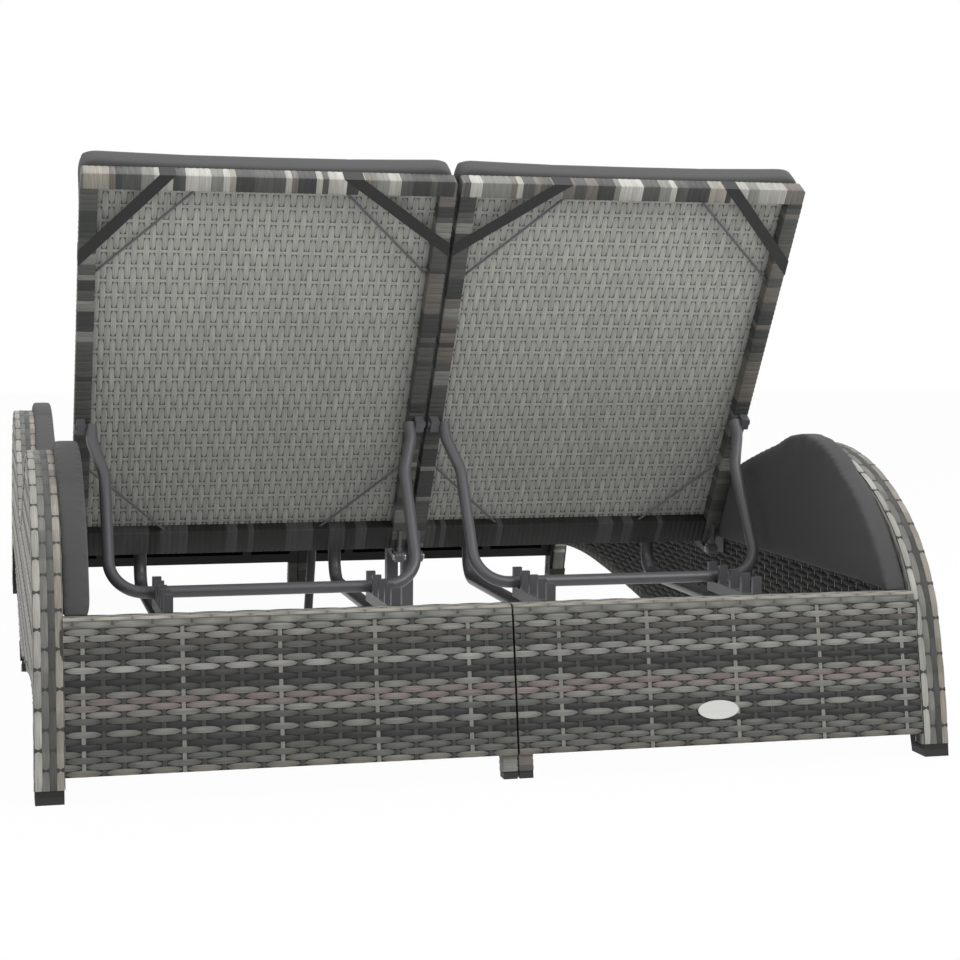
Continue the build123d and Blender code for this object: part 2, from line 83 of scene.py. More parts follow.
class Shade(Enum):
    """Colours of the extruded rattan strands, from pale to black, and of the backrests' panels."""

    PALE = "#BCBBB5"
    LIGHT = "#ABAAA3"
    PINK = "#A79C97"
    SAND = "#9C978D"
    MID = "#858580"
    BROWN = "#716C66"
    DARK = "#575854"
    CHARCOAL = "#434543"
    # BLACK also stands for painted shade, on the inner skins of the side walls.
    BLACK = "#20201F"
    BACK = "#B7B7B1"

    def tone(self) -> Tone:
        """Linear colour of this strand."""
        return linear(self.value)


def shades(names: str) -> tuple[Shade, ...]:
    """Shades by their names, in order."""
    return tuple(Shade[name.upper()] for name in names.split())


class Side(Enum):
    """Left and right half of the lounger, seen from the head end."""

    LEFT = -1
    RIGHT = 1

    def named(self, base: str) -> str:
        """Name of this half's piece."""
        return f"{base}_{self.name.lower()}"


@dataclass
class Assembly:
    """A sub-assembly of the lounger, with all finishes by name."""

    materials: dict[str, bpy.types.Material]


def link(name: str, data: bpy.types.ID) -> bpy.types.Object:
    """Add an object with this name and data to the scene."""
    bpy.context.scene.collection.objects.link(made := bpy.data.objects.new(name, data))
    return made


def close(name: str, mesh: bmesh.types.BMesh) -> bpy.types.Mesh:
    """Turn a finished bmesh into a mesh.

    Args:
        name: Name of the mesh.
        mesh: The bmesh, which is freed.

    Returns:
        The mesh.
    """
    data = bpy.data.meshes.new(name)
    mesh.to_mesh(data)
    mesh.free()
    return data


# Materials


def blank(name: str) -> tuple[bpy.types.Material, bpy.types.NodeTree, bpy.types.Node]:
    """Start a material: the material, its nodes and its shader."""
    (material := bpy.data.materials.new(name)).use_nodes = True
    return material, material.node_tree, material.node_tree.nodes["Principled BSDF"]


def add(tree: bpy.types.NodeTree, kind: str, settings: dict | None = None, links: dict | None = None) -> bpy.types.Node:
    """Add a node with its settings and links.

    Args:
        tree: The material's node tree.
        kind: Node type name without the ShaderNode prefix.
        settings: Properties by name, or socket values by socket name or index.
        links: Output sockets by input socket name or index.

    Returns:
        The new node.
    """
    node = tree.nodes.new("ShaderNode" + kind)
    for key, value in (settings or {}).items():
        if isinstance(key, str) and key in node.bl_rna.properties:
            setattr(node, key, value)
        else:
            node.inputs[key].default_value = value
    for key, socket in (links or {}).items():
        tree.links.new(socket, node.inputs[key])
    return node


@dataclass(frozen=True)
class Finish:
    """A procedural finish: one colour with its own grain, gloss and relief.

    Scales are per metre, so a scale of 1000 gives a grain of about a millimetre.
    """

    name: str
    colour: str
    roughness: float
    metallic: float = 0.0
    grain: float = 400.0
    mottle: float = 8.0
    depth: float = 0.1
    spread: float = 0.08
    sheen: float = 0.0
    stretch: Place = (1.0, 1.0, 1.0)

    def make(self) -> bpy.types.Material:
        """Build the material.

        Returns:
            A node material on Object coordinates.
        """
        material, tree, shader = blank(self.name)
        place = add(tree, "TexCoord").outputs["Object"]
        if self.stretch != (1.0, 1.0, 1.0):
            place = add(tree, "Mapping", {"Scale": self.stretch}, {"Vector": place}).outputs[0]
        fine = add(tree, "TexNoise", {"Scale": self.grain, "Detail": 3.0, "Roughness": 0.6}, {"Vector": place})
        broad = add(tree, "TexNoise", {"Scale": self.mottle, "Detail": 2.0}, {"Vector": place})
        both = add(tree, "Math", {"operation": "ADD"}, {0: fine.outputs[0], 1: broad.outputs[0]})
        limits = {"From Min": 0.6, "From Max": 1.4, "To Min": 1 - self.spread, "To Max": 1 + self.spread}
        value = add(tree, "MapRange", limits, {0: both.outputs[0]})
        tint = add(tree, "VectorMath", {"operation": "SCALE", 0: linear(self.colour)}, {"Scale": value.outputs[0]})
        tree.links.new(tint.outputs[0], shader.inputs["Base Color"])
        bump = add(tree, "Bump", {"Strength": self.depth, "Distance": 0.001}, {"Height": fine.outputs[0]})
        tree.links.new(bump.outputs[0], shader.inputs["Normal"])
        shader.inputs["Roughness"].default_value = self.roughness
        shader.inputs["Metallic"].default_value = self.metallic
        shader.inputs["Sheen Weight"].default_value = self.sheen
        shader.inputs["Sheen Roughness"].default_value = 0.5
        return material


@dataclass(frozen=True)
class Strands:
    """Extruded polyethylene rattan: dull, half-round strands with fine ribs along them.

    Each strand carries its own colour in the attribute tone. The attribute strand
    holds the place along it, the place across it and a number of its own, so that
    the ribs follow it round every bend and differ from strand to strand.
    """

    name: str
    roughness: float = 0.56
    specular: float = 0.3
    # Uneven ribs, about 1.1 mm apart across a strand and drawn out over 40 mm along it.
    rib_scale: float = 900.0
    run_scale: float = 25.0
    key_scale: float = 7.0
    spread: float = 0.22
    relief: float = 0.25
    relief_depth: float = 0.0006

    def make(self) -> bpy.types.Material:
        """Build the material.

        Returns:
            A node material that reads the strands' own attributes.
        """
        material, tree, shader = blank(self.name)
        tone = add(tree, "Attribute", {"attribute_name": "tone"})
        strand = add(tree, "Attribute", {"attribute_name": "strand"})
        scale = (self.run_scale, self.rib_scale, self.key_scale)
        place = add(tree, "Mapping", {"Scale": scale}, {"Vector": strand.outputs["Vector"]})
        ribs = add(tree, "TexNoise", {"Scale": 1.0, "Detail": 3.0}, {"Vector": place.outputs[0]})
        limits = {"From Min": 0.3, "From Max": 0.7, "To Min": 1 - self.spread, "To Max": 1 + self.spread}
        value = add(tree, "MapRange", limits, {0: ribs.outputs[0]})
        links = {0: tone.outputs["Color"], "Scale": value.outputs[0]}
        tint = add(tree, "VectorMath", {"operation": "SCALE"}, links)
        tree.links.new(tint.outputs[0], shader.inputs["Base Color"])
        relief = {"Strength": self.relief, "Distance": self.relief_depth}
        bump = add(tree, "Bump", relief, {"Height": ribs.outputs[0]})
        tree.links.new(bump.outputs[0], shader.inputs["Normal"])
        shader.inputs["Roughness"].default_value = self.roughness
        shader.inputs["Specular IOR Level"].default_value = self.specular
        return material


@dataclass(frozen=True)
class Palette:
    """Every finish of the lounger."""

    strands: Strands = Strands("extruded_rattan_strands")
    # Painted shade between the strands and on the aprons' frames: the same plastic, seen where little light gets in.
    core: Finish = Finish("rattan_in_shade", "#1E1E1D", 0.8, grain=300, depth=0.2)
    # Lighter painted shade behind the backrests' panels, where some light comes through.
    panel_core: Finish = Finish("rattan_in_half_shade", "#5C5C58", 0.7, grain=300, depth=0.2)
    # Blotches of about 9 mm, near the width of a turn, seen on a bar where no turn is modelled.
    wrapped: Finish = Finish("rattan_turns", "#6B6B66", 0.6, grain=110, mottle=60, depth=0.5, spread=0.3)
    # Powder coat on bent tube: satin grey with a faint orange peel.
    powder: Finish = Finish("powder_coated_steel", "#626265", 0.36, grain=700, depth=0.08, spread=0.05)
    # Moulded polypropylene of the feet: dull black.
    moulded: Finish = Finish("moulded_polypropylene", "#17171A", 0.55, grain=900, depth=0.1)
    # Zinc plate on pins and bolts: bright, but a little clouded.
    zinc: Finish = Finish("zinc_plated_steel", "#9A9A98", 0.34, metallic=1.0, grain=500, depth=0.05)
    # Brushed aluminium: the grain is stretched along X.
    brushed: Finish = Finish(
        "brushed_aluminium", "#C9C9C6", 0.32, metallic=1.0, grain=900, depth=0.15, stretch=(0.06, 1.0, 1.0)
    )
    # Polyester cover with a plain weave of 0.5 mm threads, drawn at 1.2 mm to show.
    cloth: Finish = Finish(
        "woven_polyester_cover", "#454546", 0.85, grain=830, mottle=5, depth=0.35, spread=0.09, sheen=0.12
    )
    # Polyester tape, woven tight: dull and dark grey.
    webbing: Finish = Finish("polyester_webbing", "#303031", 0.8, grain=600, depth=0.3, spread=0.12, sheen=0.05)

    def make(self) -> dict[str, bpy.types.Material]:
        """Build all materials, by field name."""
        return {name: getattr(self, name).make() for name in self.__dataclass_fields__}


# Strands laid on a surface


@dataclass(frozen=True)
class Straight:
    """A straight course on a flat surface."""

    origin: Vector
    along: Vector
    out: Vector

    def at(self, distance: float) -> Spot:
        """Point, direction and outward normal at a distance."""
        return self.origin + self.along * distance, self.along, self.out


class Trail:
    """A course through many points, with an outward normal at each."""

    def __init__(self, points: Sequence[Vector], normals: Sequence[Vector]) -> None:
        """Store the points and work out the distance of each.

        Args:
            points: Points in order.
            normals: Outward unit normals, one for each point.
        """
        self.points = list(points)
        self.normals = list(normals)
        self.reach = [0.0]
        for a, b in zip(self.points, self.points[1:]):
            self.reach.append(self.reach[-1] + (b - a).length)
        self.length = self.reach[-1]

    @classmethod
    def beside(cls, points: Sequence[Vector], side: Vector) -> "Trail":
        """Make a course whose normals are square to it and to a direction beside it.

        Args:
            points: Points in order.
            side: The direction beside it.

        Returns:
            The course.
        """
        last = len(points) - 1
        runs = [(points[min(i + 1, last)] - points[max(i - 1, 0)]).normalized() for i in range(last + 1)]
        return cls(points, [side.cross(run) for run in runs])

    def at(self, distance: float) -> Spot:
        """Find a place on the course.

        Args:
            distance: Its distance along.

        Returns:
            Point, direction and outward normal.
        """
        high = min(max(bisect_right(self.reach, distance), 1), len(self.reach) - 1)
        low = high - 1
        run = self.reach[high] - self.reach[low]
        share = min(1.0, max(0.0, (distance - self.reach[low]) / run))
        point = self.points[low].lerp(self.points[high], share)
        normal = self.normals[low].lerp(self.normals[high], share).normalized()
        return point, (self.points[high] - self.points[low]).normalized(), normal

    def inset(self, depth: float) -> "Trail":
        """The same course, moved inwards."""
        return Trail([p - n * depth for p, n in zip(self.points, self.normals)], self.normals)

    def facing(self, out: Vector) -> "Trail":
        """The same course, with one outward direction all along."""
        return Trail(self.points, [out] * len(self.points))


def flat_band(rise: float, crown: float) -> Profile:
    """Height of a strand that lies flat, from its middle height and its drop at the edges."""
    return lambda distance, side: rise - crown * side * side


@dataclass(frozen=True)
class Weave:
    """Sizes of the plain weave: flat strands over and under narrow stakes.

    A strand has its full width over every second stake. It sinks to the surface within
    a share, level, of the way to the next one, and narrows by its waist below that.
    Its colour darkens as it narrows: painted shade where it dives under the next stake.
    """

    strand: float = 0.0088
    pitch: float = 0.0092
    stake_pitch: float = 0.0265
    stake: float = 0.0056
    stake_rise: float = 0.0007
    stake_crown: float = 0.0005
    rise: float = 0.0018
    crown: float = 0.0011
    level: float = 0.9
    waist: float = 0.28
    lift: float = 0.0
    steps: int = 4
    least_step: float = 0.2

    def away(self, distance: float, phase: float) -> float:
        """Stake pitches between a place along a strand and the nearest stake under it."""
        turn = ((distance - phase) / self.stake_pitch) % 2
        return min(turn, 2 - turn)

    def arch(self, distance: float, phase: float) -> float:
        """Share of its rise that a strand has at a place along it."""
        return 1 - (self.away(distance, phase) / self.level) ** 2

    def height(self, phase: float) -> Profile:
        """Height of a strand, from the distance along and the place across."""
        return lambda along, side: self.lift + self.rise * self.arch(along, phase) - self.crown * side * side

    def kept(self, phase: float) -> Share:
        """Share of its width that a strand keeps, from the distance along. Its colour darkens by the square of it, as
        painted shade.
        """
        return lambda distance: 1 - self.waist * self.away(distance, phase) ** 2

    def band(self) -> Profile:
        """Height of a stake, which lies flat."""
        return flat_band(self.stake_rise, self.stake_crown)

    def stations(self, start: float, end: float) -> list[float]:
        """Find where a strand has its rows of points.

        Args:
            start: Where the strand starts.
            end: Where it ends.

        Returns:
            Both ends, with whole steps between them.
        """
        step = self.stake_pitch / self.steps
        first = math.ceil(start / step + self.least_step)
        last = math.floor(end / step - self.least_step)
        return [start] + [i * step for i in range(first, last + 1)] + [end]


class StrandMesh:
    """A mesh of many strands, each with its own colour."""

    # Each strand's own number lies between zero and this.
    keys = 50

    def __init__(self, name: str, seed: int, gain: float = 1.0) -> None:
        """Start an empty mesh.

        Args:
            name: Name of the piece.
            seed: Seed of its small variations.
            gain: How light all its colours are.
        """
        self.name = name
        self.gain = gain
        self.random = random.Random(seed)
        self.mesh = bmesh.new()
        self.tone = self.mesh.verts.layers.float_color.new("tone")
        self.mark = self.mesh.verts.layers.float_vector.new("strand")

    def lay(
        self,
        course: Straight | Trail,
        stations: Sequence[float],
        offset: float,
        width: float,
        height: Profile,
        tone: Tone,
        lanes: int = 4,
        drift: float = 0.05,
        patch: float = 0.0,
        kept: Share | None = None,
    ) -> None:
        """Lay one strand along a course.

        Args:
            course: What it follows.
            stations: Distances of its rows of points.
            offset: Distance to the side of the course.
            width: Width of the strand.
            height: Height above the surface.
            tone: Its colour.
            lanes: Faces across it.
            drift: How much its colour may differ from the next one's.
            patch: Length after which its colour may change a little, or zero.
            kept: Share of its width that it keeps, from the distance along. Its colour darkens by the square of this
                share, as painted shade where it dives.
        """
        grid = bmesh.ops.create_grid(self.mesh, x_segments=len(stations) - 1, y_segments=lanes, size=1.0)
        last = len(stations) - 1
        spots = [course.at(d) for d in stations]
        level = self.gain * (1 + self.random.uniform(-drift, drift))
        levels = {}
        key = self.random.random() * self.keys
        for vert in grid["verts"]:
            index = round((vert.co.x + 1) / 2 * last)
            side = vert.co.y
            point, along, out = spots[index]
            across = out.cross(along).normalized()
            rise = height(stations[index], side)
            shade = level
            if patch:
                zone = math.floor(stations[index] / patch)
                shade *= levels.setdefault(zone, 1 + self.random.uniform(-drift, drift))
            # Painted shade: the strand's colour darkens as it narrows, where it dives under a stake.
            share = kept(stations[index]) if kept else 1.0
            shade *= share * share
            half = side * width * share / 2
            vert[self.tone] = (tone[0] * shade, tone[1] * shade, tone[2] * shade, 1.0)
            vert[self.mark] = (stations[index], half, key)
            vert.co = point + across * (offset + half) + out * rise

    def weave(
        self,
        course: Straight | Trail,
        span: Flat,
        weave: Weave,
        row: float,
        shade: Shade,
        drift: float,
        offset: float = 0.0,
        width: float = 0.0,
        lanes: int = 4,
    ) -> None:
        """Lay one strand of a weave.

        Args:
            course: What it follows.
            span: Where it starts and ends along the course.
            weave: Sizes of the weave.
            row: Number of its row. The rows pass over every second stake in turn.
            shade: Its colour.
            drift: How much its colour may change, from the next one's and along it.
            offset: Distance to the side of the course.
            width: Its width, where it isn't the weave's own.
            lanes: Faces across it.
        """
        phase = weave.stake_pitch * (row % 2)
        self.lay(
            course, weave.stations(*span), offset, width or weave.strand, weave.height(phase), shade.tone(),
            lanes, drift, 2 * weave.stake_pitch, weave.kept(phase),
        )  # fmt: skip

    def finish(self, body: str, material: bpy.types.Material, slot: str) -> None:
        """Make the object and let it ride.

        Args:
            body: CAD body that it moves with.
            material: Its material.
            slot: Not used.
        """
        data = close(self.name, self.mesh)
        data.shade_smooth()
        place_object(data, body, material)


def place_object(data: bpy.types.Mesh, body: str, material: bpy.types.Material) -> bpy.types.Object:
    """Make an object from a mesh whose points are in place.

    Args:
        data: The mesh.
        body: CAD body that it moves with.
        material: Its material.

    Returns:
        The object, at the origin.
    """
    piece = link(data.name, data)
    data.materials.append(material)
    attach(piece, body)
    LOG.info("%s: %d faces on %s", piece.name, len(data.polygons), body)
    return piece


class Spans:
    """Stretches of straight lines that lie inside a CAD node."""

    # A ray goes on this far behind each point that it hits.
    nudge = 1e-5

    def __init__(self, node: str) -> None:
        """Read the node's surface.

        Args:
            node: Name of the CAD node.
        """
        graph = bpy.context.evaluated_depsgraph_get()
        self.tree = BVHTree.FromObject(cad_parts[node], graph)

    def inside(self, origin: Vector, along: Vector, length: float) -> list[Flat]:
        """Find where a line runs inside the node.

        Args:
            origin: Start of the line, outside the node.
            along: Unit direction.
            length: How far to look.

        Returns:
            Start and end distance of each stretch.
        """
        hits: list[float] = []
        reached = 0.0
        while reached < length:
            spot, _, _, distance = self.tree.ray_cast(origin + along * reached, along, length - reached)
            if spot is None:
                break
            reached += distance
            if not hits or reached - hits[-1] > self.nudge:
                hits.append(reached)
            reached += self.nudge
        return list(zip(hits[::2], hits[1::2]))


# Side walls


def arc(a: Flat, b: Flat, c: Flat, count: int) -> list[Flat]:
    """Find points on the arc through three points, without the last one.

    Args:
        a: Start.
        b: A point on the way.
        c: End.
        count: Number of points.

    Returns:
        Points in order.
    """
    first, way, last = complex(*a), complex(*b), complex(*c)
    ratio = (last - first) / (way - first)
    centre = first - (first - way) * (ratio - abs(ratio) ** 2) / (2j * ratio.imag)
    middle, end = (cmath.phase((spot - centre) / (first - centre)) % math.tau for spot in (way, last))
    turn = end - math.tau if middle > end else end
    spots = [centre + (first - centre) * cmath.exp(1j * turn * i / count) for i in range(count)]
    return [(spot.real, spot.imag) for spot in spots]


@dataclass
class SideWalls(Assembly):
    """Arched side walls: strands along the rim, woven skins and a wrapped lower edge."""

    inner_x: float = 0.622
    outer_x: float = 0.660
    hump: float = 0.438
    arch: float = 0.098
    foot: float = 0.010
    arc_points: int = 12
    # The inner skin ends under the cushions.
    inner_top: float = 0.262
    # Width of the inner skin's stakes, which are pale: painted light coming through the gaps of the weave.
    inner_stake: float = 0.0026
    weave: Weave = Weave()
    weave_drift: float = 0.09
    rim_weave: Weave = Weave(rise=0.0008, crown=0.0008, waist=0.06, lift=0.0009, stake_rise=0.0009, stake_crown=0.0003)
    rim_gain: float = 0.85
    rim_drift: float = 0.24
    rim_overlap: float = 1.02
    face_strand: float = 0.0068
    face_strands: tuple[tuple[float, Shade], ...] = ((0.0042, Shade.LIGHT), (0.0108, Shade.MID))
    turn_pitch: float = 0.0095
    turn: float = 0.0090
    turn_half_width: float = 0.013
    turn_half_depth: float = 0.0125
    lowest_turn: float = 0.036
    turn_shades: tuple[Shade, ...] = shades("light mid sand dark light brown")
    # Lines through a skin start beyond its ends, and shorter stretches in it are left out.
    beyond: float = 1.1
    below: float = 0.1
    above: float = 0.5
    least: float = 0.008
    # Edges of the rear half, three by three on an arc: shares of half the length and of the height.
    top_shares: tuple[Flat, ...] = (
        (0, 0), (0.018, 0.256), (0.045, 0.498), (0.090, 0.674), (0.170, 0.836), (0.280, 0.954), (0.400, 1),
        (0.480, 0.982), (0.560, 0.927), (0.700, 0.799), (0.860, 0.662), (0.930, 0.623), (1, 0.612),
    )  # fmt: skip
    arch_shares: tuple[Flat, ...] = (
        (0.970, 0), (0.628, 0.61), (0.400, 0.90), (0.247, 1), (0.110, 0.96), (0.076, 0.90), (0.064, 0.67),
    )  # fmt: skip
    rim_shades: tuple[Shade, ...] = shades("sand dark mid light")
    rows: tuple[Shade, ...] = shades(
        "light pale mid dark light pink light dark brown light pale charcoal mid light sand dark mid pale pink "
        "light charcoal dark light mid"
    )

    def edge(self, shares: Sequence[Flat], height: float) -> list[Flat]:
        """Find dense points of an edge of the rear half, in Y and Z.

        Args:
            shares: Shares of the half length and of the height.
            height: Height that the second share refers to.

        Returns:
            Points in order.
        """
        marks = [(y * HALF_LENGTH - HALF_LENGTH, z * height) for y, z in shares]
        points: list[Flat] = []
        for i in range(0, len(marks) - 1, 2):
            points += arc(*marks[i : i + 3], self.arc_points)
        return points + [marks[-1]]

    def trail(self, points: Sequence[Flat], x: float) -> Trail:
        """Make a course along an edge and its mirror image at the other end.

        Args:
            points: Y and Z of the rear half, from the foot to the middle.
            x: Place across.

        Returns:
            The course from the rear foot to the front foot, facing up and out.
        """
        whole = list(points) + [(-y, z) for y, z in reversed(points[:-1])]
        return Trail.beside([Vector((x, y, z)) for y, z in whole], X_AXIS)

    def rim(self, side: Side) -> None:
        """Lay strands along the rim, over cross ties, and more round each face.

        Args:
            side: Which wall.
        """
        made = StrandMesh(side.named("rim_strands"), seed=11 + side.value, gain=self.rim_gain)
        weave = self.rim_weave
        width = self.outer_x - self.inner_x
        lane = width / len(self.rim_shades)
        edge = [p for p in self.edge(self.top_shares, self.hump) if p[1] > self.foot]
        top = self.trail(edge, side.value * (self.inner_x + self.outer_x) / 2)
        for row, shade in enumerate(self.rim_shades):
            offset = (row + 0.5) * lane - width / 2
            made.weave(top, (0.0, top.length), weave, row, shade, self.rim_drift, offset, lane * self.rim_overlap)
        for index in range(1, int(top.length / weave.stake_pitch)):
            point, _, out = top.at(index * weave.stake_pitch)
            tie = Straight(point - X_AXIS * width / 2, X_AXIS, out)
            made.lay(tie, [0, width / 2, width], 0.0, weave.stake, weave.band(), Shade.CHARCOAL.tone(), lanes=2)
        for x, outward in ((self.inner_x, -side.value), (self.outer_x, side.value)):
            face = self.trail(edge, side.value * x)
            for row, (depth, shade) in enumerate(self.face_strands):
                course = face.inset(depth).facing(X_AXIS * outward)
                made.weave(course, (0.0, course.length), weave, row, shade, self.rim_drift, width=self.face_strand)
        made.finish("root", self.materials["strands"], "wrapped_rattan")

    def arch_turns(self, side: Side) -> None:
        """Wrap the lower edge of a wall, along its arches.

        Args:
            side: Which wall.
        """
        made = StrandMesh(side.named("arch_turns"), seed=21 + side.value)
        points = [p for p in reversed(self.edge(self.arch_shares, self.arch)) if p[1] > self.lowest_turn]
        centre = (self.inner_x + self.outer_x) / 2 * side.value
        for end in (1, -1):
            edge = Trail.beside([Vector((centre, y * end, z)) for y, z in points], X_AXIS * -end)
            for index in range(int(edge.length / self.turn_pitch)):
                point, along, out = edge.at((index + 0.5) * self.turn_pitch)
                middle = point - out * self.turn_half_depth
                bar = Bar(middle, along, X_AXIS, self.turn_half_width, self.turn_half_depth)
                # Runs of colour that don't repeat for many turns.
                shade = self.turn_shades[(index * 5 + index // 3) % len(self.turn_shades)]
                bar.turn(made, 0.0, self.turn, shade.tone())
        made.finish("root", self.materials["strands"], "wrapped_rattan")

    def skin(self, side: Side, outer: bool) -> None:
        """Weave the skin of one face of a wall.

        Args:
            side: Which wall.
            outer: True for the outer face.
        """
        base = "outer_side" if outer else "inner_side"
        node = side.named(base + "_weave")
        spans = Spans(node)
        made = StrandMesh(side.named(base + "_strands"), seed=31 + side.value * (2 if outer else 3))
        low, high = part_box(node)
        middle = (low.x + high.x) / 2
        out = X_AXIS * side.value * (1 if outer else -1)
        face = high.x if out.x > 0 else low.x
        weave = self.weave
        top = high.z if outer else self.inner_top
        # The inner skin's strands are all black: painted shade inside the wall.
        rows = self.rows if outer else (Shade.BLACK,)
        row = 0
        z = low.z + weave.pitch / 2
        while z < top:
            course = Straight(Vector((face, -self.beyond, z)), Y_AXIS, out)
            for start, end in spans.inside(Vector((middle, -self.beyond, z)), Y_AXIS, 2 * self.beyond):
                if end - start >= self.least:
                    shade = rows[row % len(rows)]
                    made.weave(course, (start, end), weave, row, shade, self.weave_drift, lanes=2)
            row += 1
            z += weave.pitch
        # The inner skin's stakes are pale and narrow: painted light through the gaps of the weave.
        shade, width = (Shade.SAND, weave.stake) if outer else (Shade.PALE, self.inner_stake)
        for index in range(1, int(2 * self.beyond / weave.stake_pitch)):
            y = index * weave.stake_pitch - self.beyond
            course = Straight(Vector((face, y, -self.below)), Z_AXIS, out)
            for start, end in spans.inside(Vector((middle, y, -self.below)), Z_AXIS, self.below + self.above):
                end = min(end, top + self.below)
                if end - start >= self.least:
                    made.lay(course, [start, end], 0.0, width, weave.band(), shade.tone(), lanes=2)
        made.finish("root", self.materials["strands"], "woven_rattan")

    def build(self) -> None:
        """Make both walls."""
        for side in Side:
            self.rim(side)
            self.arch_turns(side)
            for outer in (True, False):
                self.skin(side, outer)


# Bars wrapped in rattan


@dataclass(frozen=True)
class Bar:
    """A straight bar with rounded edges, wrapped in flat turns of rattan."""

    start: Vector
    axis: Vector
    first: Vector
    half_first: float
    half_second: float
    round: float = 0.0007
    crown: float = 0.0006
    drift: float = 0.1
    # How many turns in a row may share a colour.
    runs: tuple[int, ...] = (1, 1, 2, 2, 3)

    def loop(self) -> Trail:
        """Make a course once round the bar.

        Returns:
            The course, at the bar's start.
        """
        second = self.axis.cross(self.first)
        points: list[Vector] = []
        normals: list[Vector] = []
        corners = ((1, 1), (-1, 1), (-1, -1), (1, -1))
        wide, deep = self.half_first - self.round, self.half_second - self.round
        for number, (a, b) in enumerate(corners):
            middle = self.start + self.first * a * wide + second * b * deep
            for step in (0, 0.5, 1):
                angle = (number + step) * math.pi / 2
                normal = self.first * math.cos(angle) + second * math.sin(angle)
                points.append(middle + normal * self.round)
                normals.append(normal)
        return Trail(points + points[:1], normals + normals[:1])

    def turn(self, made: StrandMesh, place: float, width: float, tone: Tone, rise: float = 0.0009) -> None:
        """Lay one turn round the bar.

        Args:
            made: The mesh that it goes in.
            place: Distance of its middle along the bar.
            width: Width of the strand.
            tone: Its colour.
            rise: Height of its middle over the bar.
        """
        course = self.loop()
        made.lay(course, course.reach, place, width, flat_band(rise, self.crown), tone, drift=self.drift)

    def wrap(self, made: StrandMesh, length: float, colours: Sequence[Shade], width: float = 0.0094) -> None:
        """Lay turns all along the bar.

        Args:
            made: The mesh that they go in.
            length: Length to cover.
            colours: Colours, picked in short runs.
            width: Width of a turn.
        """
        count = max(1, round(length / width))
        width = length / count
        left = 0
        tone = colours[0].tone()
        for index in range(count):
            if left == 0:
                left = made.random.choice(self.runs)
                tone = made.random.choice(colours).tone()
            left -= 1
            self.turn(made, (index + 0.5) * width, width, tone)


# End aprons


